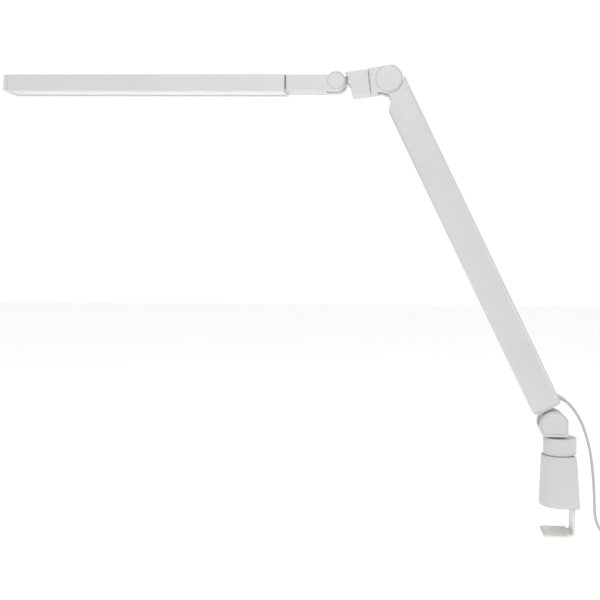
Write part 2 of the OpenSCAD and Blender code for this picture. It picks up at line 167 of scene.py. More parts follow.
def painted(name, col, rough, speckle=0.02, peel=0.35, peel_scale=900.0, coat=0.15):
    """Sprayed satin coat: faint cloudiness, fine grain, orange peel and a painted highlight lightening the convex
    edges.
    """
    m, nt, b = new_mat(name)
    v = coords(nt)
    cloud = noise(nt, v, 14.0, 4.0, 0.55)
    grain = noise(nt, v, 2600.0, 2.0, 0.6)
    lo = [c * (1 - speckle) for c in col]
    hi = [min(1, c * (1 + speckle)) for c in col]
    base = ramp(nt, cloud, [(0.3, lo), (0.7, hi)])
    base = mix_col(nt, maprange(nt, grain, 0.35, 0.75, 0.0, 0.18), base, [min(1, c * 1.04) for c in col])
    # painted highlight: convex edges lightened from the mesh's pointiness
    base = mix_col(nt, maprange(nt, edge_highlight_mask(nt), 0, 1, 0.0, 0.22), base, [min(1, c * 1.06) for c in col])
    nt.links.new(base, b.inputs["Base Color"])
    nt.links.new(maprange(nt, noise(nt, v, 60.0, 4.0, 0.6), 0.3, 0.7, rough - 0.04, rough + 0.05), b.inputs["Roughness"])
    n1 = bump(nt, b, noise(nt, v, peel_scale, 2.0, 0.4), peel, 0.00002)
    bump(nt, b, grain, 0.25, 0.00001, n1)
    b.inputs["Coat Weight"].default_value = coat
    b.inputs["Coat Roughness"].default_value = 0.25
    b.inputs["IOR"].default_value = 1.48
    return m


def moulded(name, col, rough, grain_scale=1800.0, strength=0.3, spread=0.03):
    """Moulded plastic or rubber with a fine spark-eroded texture and a painted highlight lightening the convex edges.
    """
    m, nt, b = new_mat(name)
    v = coords(nt)
    vor = nt.nodes.new("ShaderNodeTexVoronoi")
    vor.inputs["Scale"].default_value = grain_scale
    nt.links.new(v, vor.inputs["Vector"])
    cloud = noise(nt, v, 30.0, 3.0, 0.5)
    lo = [c * (1 - spread) for c in col]
    hi = [min(1, c * (1 + spread)) for c in col]
    base = ramp(nt, cloud, [(0.32, lo), (0.68, hi)])
    # painted highlight: convex edges lightened from the mesh's pointiness
    base = mix_col(nt, maprange(nt, edge_highlight_mask(nt), 0, 1, 0.0, 0.3), base, [min(1, c * 1.08) for c in col])
    nt.links.new(base, b.inputs["Base Color"])
    nt.links.new(maprange(nt, cloud, 0.3, 0.7, rough - 0.04, rough + 0.06), b.inputs["Roughness"])
    n1 = bump(nt, b, vor.outputs["Distance"], strength, 0.00003)
    bump(nt, b, noise(nt, v, grain_scale * 0.4, 3.0, 0.5), 0.2, 0.00002, n1)
    return m


def metal(name, col, rough, stretch=(1, 1, 1), scale=900.0, strength=0.25, dirt=0.06, metallic=1.0):
    """Plain or plated metal with a directional grain and a painted highlight brightening the convex edges."""
    m, nt, b = new_mat(name)
    v = coords(nt, stretch)
    v1 = coords(nt)
    g = noise(nt, v, scale, 4.0, 0.65)
    stain = noise(nt, v1, 45.0, 5.0, 0.6)
    base = ramp(nt, stain, [(0.3, [c * (1 - dirt) for c in col]), (0.7, [min(1, c * (1 + dirt)) for c in col])])
    base = mix_col(nt, maprange(nt, g, 0.3, 0.7, 0.0, 0.25), base, [c * 0.9 for c in col])
    # painted highlight: convex edges brightened from the mesh's pointiness
    base = mix_col(nt, maprange(nt, edge_highlight_mask(nt), 0, 1, 0.0, 0.5), base, [min(1, c * 1.15) for c in col])
    nt.links.new(base, b.inputs["Base Color"])
    nt.links.new(maprange(nt, g, 0.25, 0.75, rough - 0.07, rough + 0.1), b.inputs["Roughness"])
    b.inputs["Metallic"].default_value = metallic
    bump(nt, b, g, strength, 0.00002)
    return m


WHITE = (0.665, 0.668, 0.665)
mat_paint = painted("painted_white", WHITE, 0.40)
mat_paint2 = painted("painted_cast", (0.66, 0.663, 0.66), 0.43, speckle=0.025, peel=0.5, peel_scale=700.0)
mat_cap = moulded("cap_white", (0.67, 0.673, 0.67), 0.42, 2200.0, 0.22, 0.02)
mat_trim = moulded("trim_white", (0.68, 0.685, 0.68), 0.45, 2000.0, 0.25, 0.02)
mat_steel = metal("strap_steel", (0.86, 0.85, 0.815), 0.5, (1, 18, 1), 420.0, 0.3, 0.03, 0.2)
mat_metal = metal("turned_steel", (0.60, 0.60, 0.61), 0.33, (1, 30, 1), 500.0)
mat_brass = metal("brass", (0.75, 0.58, 0.30), 0.33, (1, 1, 20), 500.0)
mat_zinc = metal("cast_zinc", (0.58, 0.58, 0.60), 0.55, (1, 1, 1), 700.0, 0.5, 0.08)
mat_rubber = moulded("rubber_dark", (0.09, 0.09, 0.09), 0.75, 1200.0, 0.5, 0.12)
mat_pad = moulded("jaw_rubber", (0.86, 0.85, 0.82), 0.65, 1200.0, 0.45, 0.04)
mat_poly = moulded("acetal", (0.66, 0.64, 0.58), 0.4, 1500.0, 0.2, 0.03)
mat_cord = moulded("cord_sheath", (0.55, 0.555, 0.56), 0.48, 1400.0, 0.3, 0.04)
mat_plug = moulded("plug_black", (0.045, 0.045, 0.047), 0.5, 1700.0, 0.4, 0.15)
mat_board = moulded("board_green", (0.03, 0.16, 0.08), 0.35, 800.0, 0.2, 0.15)
mat_pcbw = moulded("board_white", (0.75, 0.75, 0.73), 0.35, 900.0, 0.15, 0.03)


def opal():
    m, nt, b = new_mat("diffuser_opal")
    v = coords(nt)
    cloud = noise(nt, v, 25.0, 3.0, 0.5)
    nt.links.new(ramp(nt, cloud, [(0.3, (0.80, 0.80, 0.79)), (0.7, (0.84, 0.84, 0.835))]), b.inputs["Base Color"])
    # fine ribs across the light bar
    w = nt.nodes.new("ShaderNodeTexWave")
    w.wave_type = "BANDS"
    w.bands_direction = "X"
    w.inputs["Scale"].default_value = 260.0
    nt.links.new(v, w.inputs["Vector"])
    bump(nt, b, w.outputs["Fac"], 0.25, 0.00003)
    nt.links.new(maprange(nt, cloud, 0.3, 0.7, 0.3, 0.38), b.inputs["Roughness"])
    b.inputs["Subsurface Weight"].default_value = 0.15
    b.inputs["Subsurface Radius"].default_value = (0.003, 0.003, 0.003)
    return m


def phosphor():
    m, nt, b = new_mat("led_phosphor")
    v = coords(nt)
    nt.links.new(ramp(nt, noise(nt, v, 700.0, 2.0), [(0.3, (0.80, 0.62, 0.12)), (0.7, (0.86, 0.70, 0.2))]), b.inputs["Base Color"])
    nt.links.new(maprange(nt, noise(nt, v, 300.0), 0.3, 0.7, 0.25, 0.4), b.inputs["Roughness"])
    return m


mat_opal = opal()
mat_led = phosphor()


# ------------------------------------------------------------------ mesh helpers
def finish_mesh(name, verts, faces, mat, M=I4, sharp=34, body=None, extra=()):
    me = bpy.data.meshes.new(name)
    me.from_pydata([tuple(M @ Vector(v)) for v in verts], [], faces)
    me.validate()
    bm = bmesh.new()
    bm.from_mesh(me)
    bmesh.ops.remove_doubles(bm, verts=bm.verts, dist=1e-7)
    bmesh.ops.recalc_face_normals(bm, faces=bm.faces)
    bm.to_mesh(me)
    bm.free()
    o = bpy.data.objects.new(name, me)
    bpy.context.scene.collection.objects.link(o)
    me.materials.append(mat)
    for m2 in extra:
        me.materials.append(m2)
    shade(o, sharp)
    if body:
        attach(o, body)
    return o


def shade(o, sharp=34):
    me = o.data
    me.shade_smooth()
    me.set_sharp_from_angle(angle=math.radians(sharp))


def weighted(o):
    w = o.modifiers.new("wn", "WEIGHTED_NORMAL")
    w.keep_sharp = True
    w.weight = 100
    return o


def bake(o):
    dg = bpy.context.evaluated_depsgraph_get()
    ev = o.evaluated_get(dg)
    me = bpy.data.meshes.new_from_object(ev)
    old = o.data
    o.modifiers.clear()
    o.data = me
    if old.users == 0:
        bpy.data.meshes.remove(old)
    return o


def boolean(o, cutters, op="DIFFERENCE"):
    for c in cutters:
        md = o.modifiers.new("b", "BOOLEAN")
        md.operation = op
        md.solver = "MANIFOLD"
        md.object = c
    bpy.context.view_layer.update()
    bake(o)
    for c in cutters:
        me = c.data
        bpy.data.objects.remove(c)
        if me.users == 0:
            bpy.data.meshes.remove(me)
    return o


def bevel(o, width, seg=3, angle=30):
    md = o.modifiers.new("bev", "BEVEL")
    md.width = width
    md.segments = seg
    md.limit_method = "ANGLE"
    md.angle_limit = math.radians(angle)
    md.harden_normals = False
    md.use_clamp_overlap = True
    md.miter_outer = "MITER_ARC"
    bpy.context.view_layer.update()
    bake(o)
    return o


def arc(cx, cy, r, a0, a1, n):
    return [(cx + r * math.cos(math.radians(a0 + (a1 - a0) * i / n)), cy + r * math.sin(math.radians(a0 + (a1 - a0) * i / n))) for i in range(n + 1)]


def area2(p):
    return sum(p[i][0] * p[(i + 1) % len(p)][1] - p[(i + 1) % len(p)][0] * p[i][1] for i in range(len(p)))


def inset(p, d):
    """Moves a closed outline inwards by d, corner by corner."""
    n = len(p)
    s = 1 if area2(p) > 0 else -1
    out = []
    for i in range(n):
        a, b, c = Vector(p[i - 1]), Vector(p[i]), Vector(p[(i + 1) % n])
        e1, e2 = (b - a), (c - b)
        if e1.length < 1e-9 or e2.length < 1e-9:
            out.append(tuple(b))
            continue
        e1.normalize(); e2.normalize()
        n1, n2 = Vector((-e1.y, e1.x)) * s, Vector((-e2.y, e2.x)) * s
        h = n1 + n2
        k = h.length_squared
        if k < 0.3:
            out.append(tuple(b + n1 * d))
        else:
            out.append(tuple(b + h * (2 * d / k)))
    return out


def fillet(pts, rads, n=5):
    """Rounds the corners of a closed outline."""
    out = []
    m = len(pts)
    for i in range(m):
        p, a, b = Vector(pts[i]), Vector(pts[i - 1]), Vector(pts[(i + 1) % m])
        r = rads[i] if isinstance(rads, (list, tuple)) else rads
        u, v = (a - p).normalized(), (b - p).normalized()
        ang = u.angle(v)
        if r <= 0 or ang > math.pi - 1e-3:
            out.append(tuple(p))
            continue
        t = r / math.tan(ang / 2)
        c = p + (u + v).normalized() * (r / math.sin(ang / 2))
        s, e = p + u * t, p + v * t
        a0 = math.atan2(s.y - c.y, s.x - c.x)
        a1 = math.atan2(e.y - c.y, e.x - c.x)
        while a1 - a0 > math.pi:
            a1 -= 2 * math.pi
        while a1 - a0 < -math.pi:
            a1 += 2 * math.pi
        out += [(c.x + r * math.cos(a0 + (a1 - a0) * k / n), c.y + r * math.sin(a0 + (a1 - a0) * k / n)) for k in range(n + 1)]
    return out


def loft(rings, cap=True, closed=False):
    n = len(rings[0])
    verts = [v for r in rings for v in r]
    faces = []
    m = len(rings)
    for i in range(m if closed else m - 1):
        a, b = i * n, ((i + 1) % m) * n
        for j in range(n):
            k = (j + 1) % n
            faces.append((a + j, a + k, b + k, b + j))
    if cap and not closed:
        faces.append(tuple(range(n))[::-1])
        faces.append(tuple(range((m - 1) * n, m * n)))
    return verts, faces


def put(axis, p, t):
    """A point of an outline placed at t along the axis it is carried on."""
    if axis == "Y":
        return (p[0], t, p[1])
    if axis == "Z":
        return (p[0], p[1], t)
    return (t, p[0], p[1])


def prism(pts, axis, a0, a1, r, seg=4):
    """An outline (millimetres) carried along an axis, with rounded rims."""
    rings = []
    for k in range(seg + 1):
        th = math.pi / 2 * k / seg
        q = inset(pts, r * (1 - math.sin(th))) if r > 0 else pts
        rings.append([Vector(put(axis, p, a0 + r * (1 - math.cos(th)))) * mm for p in q])
        if r <= 0:
            break
    back = []
    for k in range(seg + 1):
        th = math.pi / 2 * (1 - k / seg)
        q = inset(pts, r * (1 - math.sin(th))) if r > 0 else pts
        back.append([Vector(put(axis, p, a1 - r * (1 - math.cos(th)))) * mm for p in q])
        if r <= 0:
            break
    return loft(rings + back)


def lathe(profile, axis="Z", centre=(0, 0), n=96, closed=True):
    """Turns a closed profile (radius, height) round an axis. centre is the axis's place in the other two coordinates."""
    rings = []
    for i in range(n):
        a = 2 * math.pi * i / n
        ring = []
        for r, h in profile:
            c, s = r * math.cos(a), r * math.sin(a)
            if axis == "Z":
                ring.append(Vector((centre[0] + c, centre[1] + s, h)) * mm)
            elif axis == "Y":
                ring.append(Vector((centre[0] + c, h, centre[1] + s)) * mm)
            else:
                ring.append(Vector((h, centre[0] + c, centre[1] + s)) * mm)
        rings.append(ring)
    verts = [v for r in rings for v in r]
    m = len(profile)
    faces = []
    for i in range(n):
        a, b = i * m, ((i + 1) % n) * m
        for j in range(m if closed else m - 1):
            k = (j + 1) % m
            faces.append((a + j, b + j, b + k, a + k))
    return verts, faces


def add(*parts):
    """Joins meshes given as (verts, faces)."""
    V, F = [], []
    for v, f in parts:
        k = len(V)
        V += v
        F += [tuple(i + k for i in q) for q in f]
    return V, F


def boxm(a, b, r=0.0):
    return prism([(a[0], a[1]), (b[0], a[1]), (b[0], b[1]), (a[0], b[1])] if r <= 0 else fillet([(a[0], a[1]), (b[0], a[1]), (b[0], b[1]), (a[0], b[1])], r, 3), "Z", a[2], b[2], r, 3)


def cutter(vf, M=I4):
    v, f = vf
    return finish_mesh("cut", v, f, mat_paint, M)


def ycyl(r, y0, y1, x=0.0, z=0.0, n=96):
    return prism(arc(x, z, r, 0, 360 - 360 / n, n - 1), "Y", y0, y1, 0)


# ------------------------------------------------------------------ the cord comes first
CR = 1.75
FLOOR = -36.5
CX, CY = 82.0, 0.0
route = [(6.6, 0, 129.1), (10, 0, 126.6), (14.4, 0, 121.8), (18.5, 0, 116.4), (22.5, 0, 110), (26.2, 0, 103),
         (29.3, 0, 95.4), (33, 0, 83.5), (36, 0, 71.5), (38.4, 0, 57), (40, 0, 43), (41.2, 0, 28), (41.9, 0, 14),
         (42.2, 0, 0), (42.6, 0, -10), (44, -1, -19), (47, -3.6, -27), (51.5, -7.7, -32.6), (57, -12.5, -34.7),
         (63.44, -18.56, -34.75)]


def catmull(p, k):
    out = []
    n = len(p)
    for i in range(n - 1):
        p0 = p[i - 1] if i else tuple(2 * p[0][j] - p[1][j] for j in range(3))
        p1, p2 = p[i], p[i + 1]
        p3 = p[i + 2] if i + 2 < n else tuple(2 * p[-1][j] - p[-2][j] for j in range(3))
        for q in range(k):
            t = q / k
            out.append(tuple(0.5 * (2 * p1[j] + (p2[j] - p0[j]) * t + (2 * p0[j] - 5 * p1[j] + 4 * p2[j] - p3[j]) * t * t
                                    + (3 * p1[j] - 3 * p2[j] + p3[j] - p0[j]) * t ** 3) for j in range(3)))
    out.append(p[-1])
    return out


def coil_path():
    """From the tangent point at 225 degrees: rows of turns a diameter apart, wound anticlockwise."""
    pts = []
    d = 2 * CR
    step = 6.0
    ang = 225.0
    r = 26.25
    z = FLOOR + CR
    rows = 4
    for row in range(rows):
        inward = row % 2 == 0
        turns = 3.9 if row < 3 else 0.75
        n = int(turns * 360 / step)
        for i in range(n):
            if row or i:
                pts.append((CX + r * math.cos(math.radians(ang)), CY + r * math.sin(math.radians(ang)), z))
            ang += step
            r += (-1 if inward else 1) * d * step / 360 * (1.0 if row < 3 else 0.6)
        if row < rows - 1:  # climb to the next row over a third of a turn
            n = 20
            for i in range(n):
                pts.append((CX + r * math.cos(math.radians(ang)), CY + r * math.sin(math.radians(ang)),
                            z + d * (0.5 - 0.5 * math.cos(math.pi * i / n))))
                ang += step
                r += 0
            z += d
    return pts, ang, r, z


lead = catmull(route, 4)
turns, ang, r_end, z_end = coil_path()
# a low hump from the top turn to the plug that lies on the coil
px, pz = CX + 19.0, FLOOR + 14 + 4.6
tail = []
a = ang
while (a - 270) % 360 > 8:  # follow the top row round to the -Y side
    tail.append((CX + r_end * math.cos(math.radians(a)), CY + r_end * math.sin(math.radians(a)), z_end))
    a += 6
    r_end += (19.5 - r_end) * 0.06
x0, y0 = CX + r_end * math.cos(math.radians(a)), CY + r_end * math.sin(math.radians(a))
p0 = Vector((x0, y0, z_end)); p3 = Vector((px, -10.5, pz))
t0 = Vector((-math.sin(math.radians(a)), math.cos(math.radians(a)), 0))
p1, p2 = p0 + t0 * 9, p3 - Vector((0, 1, 0)) * 7
for i in range(13):
    t = i / 12
    tail.append(tuple(p0 * (1 - t) ** 3 + p1 * 3 * t * (1 - t) ** 2 + p2 * 3 * t * t * (1 - t) + p3 * t ** 3))
path_mm = lead + turns + tail
clean = [path_mm[0]]
for p in path_mm[1:]:
    if (Vector(p) - Vector(clean[-1])).length > 0.8:
        clean.append(p)
path_mm = clean
length = sum((Vector(path_mm[i + 1]) - Vector(path_mm[i])).length for i in range(len(path_mm) - 1)) * mm


def tube(path, r, n=16, ends=True):
    rings = []
    up = None
    m = len(path)
    for i, p in enumerate(path):
        t = (Vector(path[min(i + 1, m - 1)]) - Vector(path[max(i - 1, 0)])).normalized()
        if up is None:
            s = t.cross(Vector((0, 1, 0.01))).normalized()
        else:
            s = (up - t * up.dot(t)).normalized()
        up = s
        u = t.cross(s)
        rr = r(i / (m - 1)) if callable(r) else r
        rings.append([(Vector(p) + (s * math.cos(2 * math.pi * j / n) + u * math.sin(2 * math.pi * j / n)) * rr) * mm for j in range(n)])
    return loft(rings)


v, f = tube(path_mm, CR, 14)
cord = finish_mesh("lamp_cord", v, f, mat_cord, sharp=60)
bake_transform(cord)
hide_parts("power_cord", "cord_coil")

# ------------------------------------------------------------------ plug and tie
pv = [(0, -10.2), (2.6, -10.2), (3.0, -9.6), (3.2, -6.6), (2.7, -6.3), (2.7, -5.5), (3.5, -5.2), (3.7, -3.0), (3.2, -2.7), (3.2, -1.9), (4.1, -1.6),
      (4.4, -0.6), (4.45, 8.6), (4.3, 9.3), (3.9, 9.75), (2.9, 9.8), (0, 9.8)]
v, f = lathe(pv, "Y", (px, pz), 48, closed=False)
plug = finish_mesh("plug_shell", v, f, mat_plug, sharp=40, body="turret")
bv = [(0, 12.0), (1.25, 12.0), (1.25, 19.3), (1.5, 19.5), (2.3, 19.5), (2.7, 19.2), (2.75, 18.8), (2.75, 11.6), (2.55, 11.4), (2.55, 11.0), (2.75, 10.8), (2.75, 9.7), (0, 9.7)]
v, f = lathe(bv, "Y", (px, pz), 48, closed=False)
barrel = finish_mesh("plug_barrel", v, f, mat_metal, sharp=40, body="turret")
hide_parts("dc_plug")
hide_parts("dc_plug")

# cable tie: a flat strap round the coil's section with a small head
z0, z1 = FLOOR + 0.05, FLOOR + 14.9
ri, ro = -28.6, -9.8
tie_line = fillet([(ro, z0 + 0.35), (ri - 0.0, z0 + 0.35), (ri - 0.0, z1 - 0.35), (ro, z1 - 0.35)], 2.2, 5)
outer = inset(tie_line, -0.35)
inner = inset(tie_line, 0.35)
rings = []
nn = len(tie_line)
ring_v = []
for i in range(nn):
    o_, i_ = outer[i], inner[i]
    ring_v.append([Vector((CX + sx, CY + q[0], q[1])) * mm for sx, q in ((-1.8, o_), (1.8, o_), (1.8, i_), (-1.8, i_))])
v, f = loft(ring_v, cap=False, closed=True)
hv, hf = boxm((CX - 2.4, CY - 20.5, z1 - 2.0 + 0.9), (CX + 2.4, CY - 15.5, z1 + 0.05), 0.35)
tie = finish_mesh("coil_strap", *add((v, f), (hv, hf)), mat_plug, sharp=30, body="turret")
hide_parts("coil_tie")

print("cord length", round(length, 4), "points", len(path_mm))

# ------------------------------------------------------------------ base and clamp
def u_ring(z, d, flat=0.0):
    """The housing's outline at height z, moved in by d: round toward -X, flat back with soft corners."""
    k = z / 62.5
    r = 26.4 - 3.0 * k - d
    b = 20.9 - 3.2 * k - d
    rc = max(0.4, 3.2 - d)
    pts = arc(b - rc, r - rc, rc, 0, 90, 6) + arc(0.5, 0, r, 90, 270, 60) + arc(b - rc, -(r - rc), rc, 270, 360, 6)
    out = []
    for i, p in enumerate(pts):  # extra points on the flat back and sides keep the shading even
        q = pts[(i + 1) % len(pts)]
        out.append(p)
        if math.dist(p, q) > 6:
            for s in range(1, 4):
                out.append((p[0] + (q[0] - p[0]) * s / 4, p[1] + (q[1] - p[1]) * s / 4))
    return out


def ring3(pts, z):
    return [Vector((p[0], p[1], z)) * mm for p in pts]


def hole_ring(ref, r, z):
    return [Vector((r * math.cos(math.atan2(p[1], p[0])), r * math.sin(math.atan2(p[1], p[0])), z)) * mm for p in ref]


rings = []
for z, d in ((0.6, 0.5), (0.75, 0.15), (1.1, 0.0)):
    rings.append(ring3(u_ring(z, d), z))
for i in range(1, 12):
    z = 1.1 + (61.0 - 1.1) * i / 11
    rings.append(ring3(u_ring(z, 0.0), z))
for k in range(1, 6):
    th = math.pi / 2 * k / 5
    rings.append(ring3(u_ring(62.5, 1.5 * (1 - math.cos(th))), 61.0 + 1.5 * math.sin(th)))
ref = u_ring(62.5, 0)
rings.append(hole_ring(ref, 14.5, 62.5))
rings.append(hole_ring(ref, 14.1, 62.3))
rings.append(hole_ring(ref, 14.0, 61.9))
rings.append(hole_ring(ref, 14.0, 60.2))
rings.append(ring3(u_ring(59.5, 2.6), 60.2))
rings.append(ring3(u_ring(58.0, 2.0), 59.0))
rings.append(ring3(u_ring(0.6, 2.0), 0.6))
v, f = loft(rings, closed=True)
housing = finish_mesh("base_shell", v, f, mat_paint, sharp=50, body="base")
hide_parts("base_housing")

v, f = prism(u_ring(0.6, 1.45), "Z", 0.0, 1.2, 0.3, 3)
pad = finish_mesh("pad_sheet", v, f, mat_rubber, sharp=40, body="base")
boolean(pad, [cutter(boxm((13, -15.6, -3), (17.6, 15.6, 3), 0.6))])
shade(pad)
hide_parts("desk_pad")

prof = [(9.0, 62.65), (18.9, 62.65), (19.1, 62.8), (19.1, 63.25), (19.8, 63.25), (20.15, 63.35), (20.35, 63.6), (20.4, 64.0),
        (20.4, 83.0), (20.28, 83.5), (19.95, 83.95), (19.4, 84.15), (18.8, 84.2), (9.3, 84.2), (9.0, 83.9)]
v, f = lathe(prof, "Z", (0, 0), 144)
ring = finish_mesh("collar_shell", v, f, mat_paint, sharp=50, body="clamp_collar")
weighted(ring)
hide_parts("collar_ring")

# clamp bracket: a folded steel strip with a wide jaw, welded to the foot that carries the nut
zb = -36.5
bend = [(13.5, 14.4), (13.5, zb + 3 + 2.6)]
bend += [(13.5 - 2.6 + 2.6 * math.cos(math.radians(a)), zb + 3 + 2.6 + 2.6 * math.sin(math.radians(a))) for a in (-18, -36, -54, -72)]
bend += [(10.9, zb + 3), (2, zb + 3), (2, zb)]
bend += [(10.9 + 5.6 * math.cos(math.radians(a)), zb + 5.6 + 5.6 * math.sin(math.radians(a))) for a in (-90, -78, -66, -54, -42, -30, -18, -6)]
bend += [(16.5, zb + 5.6), (16.5, 14.4)]
strap = finish_mesh("clamp_strip", *prism(bend, "Y", -15, 15, 0.35, 3), mat_steel, body=None)
jaw_out = fillet([(-22.4, -21.5), (4, -21.5), (11.0, -15.0), (11.0, 15.0), (4, 21.5), (-22.4, 21.5)], [3.5, 4, 1.0, 1.0, 4, 3.5], 6)
jaw = finish_mesh("jaw_cut", *prism(jaw_out, "Z", zb, zb + 3, 0.5, 3), mat_steel)
foot = finish_mesh("foot_cut", *boxm((-13, -15, 5.4), (15, 15, 14.4), 1.0), mat_steel)
boolean(strap, [jaw, foot], "UNION")
boolean(strap, [cutter(prism(arc(0, 0, 11.55, 0, 356, 89), "Z", 4, 16, 0))])
shade(strap, 30)
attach(strap, "clamp_jaw")
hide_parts("clamp_bracket")

parts = [prism(fillet([(-19.4, -18.5), (9.5, -18.5), (9.5, 18.5), (-19.4, 18.5)], 1.5, 4), "Z", zb + 3, zb + 4.0, 0.2, 2)]
x = -18.4
while x < 8.6:
    parts.append(prism(fillet([(x, -17.8), (x + 1.3, -17.8), (x + 1.3, 17.8), (x, 17.8)], 0.5, 3), "Z", zb + 3.9, zb + 4.5, 0.25, 2))
    x += 2.2
jpad = finish_mesh("jaw_cushion", *add(*parts), mat_pad, sharp=40, body="clamp_jaw")
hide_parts("jaw_pad")


# ------------------------------------------------------------------ pivot castings
def cap_disc(name, M, body, r, node, y1=18.45):
    """A pair of cover discs: flat face, rounded rim, fine edge groove."""
    meshes = []
    for s in (1, -1):
        prof = [(0, s * 16.6), (r - 0.3, s * 16.6), (r, s * 16.9), (r, s * (y1 - 0.3)), (r - 0.06, s * (y1 - 0.14)),
                (r - 0.2, s * (y1 - 0.03)), (r - 0.5, s * y1), (r * 0.5, s * y1), (0, s * y1)]
        v, f = lathe(prof, "Y", (0, 0), 96, closed=False)
        meshes.append((v, f))
    o = finish_mesh(name, *add(*meshes), mat_cap, M, sharp=50, body=body)
    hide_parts(node)
    return o


def knuckle_outline(zb):
    R = 17.8
    a0 = math.degrees(math.acos(16.3 / R))
    ab = 180 + math.degrees(math.asin(-zb / R))
    pts = arc(0, 0, R, a0, ab, 72)
    return fillet([(16.3, zb)] + pts, [1.0] + [0] * len(pts), 4)


kn = finish_mesh("knuckle_casting", *prism(knuckle_outline(-13.4), "Y", -18.5, 18.5, 0.7, 4), mat_paint2, M_kn)
kfoot = finish_mesh("kfoot", *prism([(-13.3, -13.35), (16.2, -13.35), (16.2, -9.6), (-13.3, -9.6)], "Y", -18.35, 18.35, 0.5, 3), mat_paint2, M_kn)
boolean(kn, [kfoot], "UNION")


def flat_disc(r, y0, y1, zc):
    """A disc along Y with its bottom cut off level at zc."""
    a = math.degrees(math.asin(-zc / r))
    return prism(arc(0, 0, r, -a, 180 + a, 90), "Y", y0, y1, 0)


cuts = [cutter(flat_disc(16.35, 16.5, 30, -9.75), M_kn), cutter(flat_disc(16.35, -30, -16.5, -9.75), M_kn), cutter(ycyl(10.2, -7, 7), M_kn),
        cutter(boxm((-30, -7, -1), (30, 7, 30)), M_kn)]
for a_ in (0, 18, 36):
    cuts.append(cutter(boxm((-9.6, -7, 0), (9.6, 7, 40)), M_kn @ Matrix.Rotation(-(lean + math.radians(a_)), 4, "Y")))
boolean(kn, cuts)
shade(kn, 32)
weighted(kn)
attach(kn, "turret")
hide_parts("knuckle")
kc = cap_disc("knuckle_cover_discs", M_kn, "turret", 16.15, "knuckle_caps")
boolean(kc, [cutter(boxm((-30, -30, -30), (30, 30, -9.5)), M_kn)])
shade(kc, 50)


# ------------------------------------------------------------------ arm
def arm_section(d):
    h = [(-16.4 + d, 0.0), (-16.4 + d, 7.0)]
    h += arc(-13.4, 14.2, 3 - d, 180, 100, 8)
    h += [(-13.4 + 26 * i / 16, 17.16 + 0.9 * math.sin(math.pi * i / 16) - d) for i in range(1, 16)]
    h += [(13.0 + (7.6 - d) * math.cos(a), (17.15 - d) * math.sin(a)) for a in [math.pi / 2 * (1 - i / 20) for i in range(21)]]
    return h + [(x, -y) for x, y in h[-2:0:-1]]


z_lo, z_hi = 24.0, AL / mm - 36
rings = []
for z, d in ((z_lo, 0.35), (z_lo + 0.1, 0.12), (z_lo + 0.35, 0.0)):
    rings.append(ring3(arm_section(d), z))
for i in range(1, 20):
    rings.append(ring3(arm_section(0), z_lo + 0.35 + (z_hi - z_lo - 0.7) * i / 20))
for z, d in ((z_hi - 0.35, 0.0), (z_hi, 0.0)):
    rings.append(ring3(arm_section(d), z))
beam = finish_mesh("arm_beam", *loft(rings), mat_paint, M_arm, sharp=50, body=None)
boolean(beam, [cutter(prism(arc(0, 28.5, 3.9, 0, 350, 35), "X", 12, 30, 0), M_arm)])
shade(beam, 50)
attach(beam, "arm")
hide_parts("arm_profile")

flange = prism(arm_section(0.2), "Z", 21.5, 23.85, 0.45, 3)
tongue_pts = [(-9, 21.6)] + arc(0, 0, 9.4, 180 + 0, 360, 40) + [(9, 21.6)]
tongue = prism(tongue_pts, "Y", -6, 6, 0.4, 3)
low = finish_mesh("arm_foot", *add(flange, tongue), mat_paint2, M_arm, sharp=40, body="arm")
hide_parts("arm_lower_end")

al = AL / mm
top = finish_mesh("arm_head_end", *prism(arm_section(0.01), "Z", al - 36.0, al - 5, 0), mat_paint2, M_arm)
side_pts = fillet([(-8.1, al - 5), (-8.1, al - 25.4), (-16.5, al - 34.8), (-16.6, al - 36.5), (22, al - 36.5), (22, al - 5)], [0, 1.2, 0.8, 0, 0, 0], 5)
boolean(top, [cutter(prism(side_pts, "Y", -30, 30, 0), M_arm)], "INTERSECT")
boolean(top, [cutter(ycyl(18.25, -30, 30, 0, al, 160), M_arm)])
v, f = prism([(-8, al - 19)] + [(9, al - 19)] + arc(0, al, 9.4, 0, 180, 40), "Y", -6, 6, 0.4, 3)
tng = finish_mesh("arm_head_tongue", v, f, mat_paint2, M_arm, sharp=40, body="arm")
shade(top, 34)
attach(top, "arm")
for o in (top, tng):
    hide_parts("arm_upper_end")

# gland: collar on the arm's back, ball and ribbed boot
M_gl = M_arm @ Matrix.Translation(Vector((20.9, 0, 27.4)) * mm) @ Matrix.Rotation(math.radians(141.5), 4, "Y")
prof = [(0, -3.1), (1.8, -2.7), (2.9, -1.5), (3.25, 0), (3.1, 0.9)]
h = 1.2
while h < 7.6:
    r = 3.0 - 0.9 * h / 8.4
    prof += [(r, h), (r, h + 0.75), (r - 0.35, h + 0.95), (r - 0.35, h + 1.25)]
    h += 1.45
prof += [(2.12, 7.9), (2.1, 8.2), (1.95, 8.4), (1.77, 8.4), (1.77, 5.0), (0, 5.0)]
boot = lathe(prof, "Z", (0, 0), 40, closed=False)
gl = finish_mesh("cable_boot", *boot, mat_cord, M_gl, sharp=50, body="arm")
fl = finish_mesh("cable_grommet", *prism(arc(0, 28.5, 3.75, 0, 350, 35), "X", 17.0, 21.2, 0.5, 3), mat_cord, M_arm, sharp=40, body="arm")
for o in (gl, fl):
    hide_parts("cable_gland")

